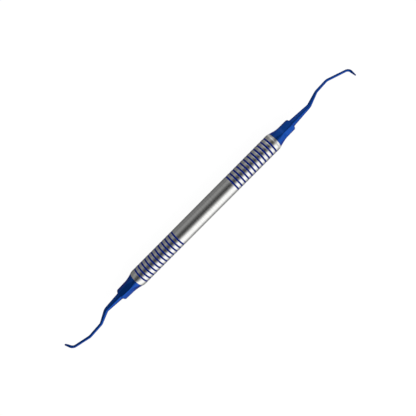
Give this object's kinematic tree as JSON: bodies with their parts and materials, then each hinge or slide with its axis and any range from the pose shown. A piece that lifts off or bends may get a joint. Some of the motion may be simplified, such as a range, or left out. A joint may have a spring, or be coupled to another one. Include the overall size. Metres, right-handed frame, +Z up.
{
  "type": "hand scaler",
  "caption": "Double-ended periodontal hand scaler: hollow steel handle with fine blue grip bands, six-sided blue nose collars and bent shanks ending in small curette blades.",
  "frame": {"origin": "on the handle's axis at mid length", "axes": "+X along the handle towards working end A, +Z up from the surface it lies on, both shanks bent in the XY plane"},
  "size_m": [0.1675, 0.0089, 0.008],
  "materials": {
    "handle_steel": "satin",
    "collar_coating": "gloss",
    "working_end_coating": "gloss",
    "band_enamel": "gloss"
  },
  "bodies": {
    "root": {"handle_tube": "handle_steel", "nose_collar_a": "collar_coating", "nose_collar_b": "collar_coating", "working_end_a": "working_end_coating", "working_end_b": "working_end_coating", "band_a01": "band_enamel", "band_a02": "band_enamel", "band_a03": "band_enamel", "band_a04": "band_enamel", "band_a05": "band_enamel", "band_a06": "band_enamel", "band_a07": "band_enamel", "band_a08": "band_enamel", "band_a09": "band_enamel", "band_a10": "band_enamel", "band_a11": "band_enamel", "band_a12": "band_enamel", "band_b01": "band_enamel", "band_b02": "band_enamel", "band_b03": "band_enamel", "band_b04": "band_enamel", "band_b05": "band_enamel", "band_b06": "band_enamel", "band_b07": "band_enamel", "band_b08": "band_enamel", "band_b09": "band_enamel", "band_b10": "band_enamel", "band_b11": "band_enamel", "band_b12": "band_enamel"}
  },
  "joints": []
}
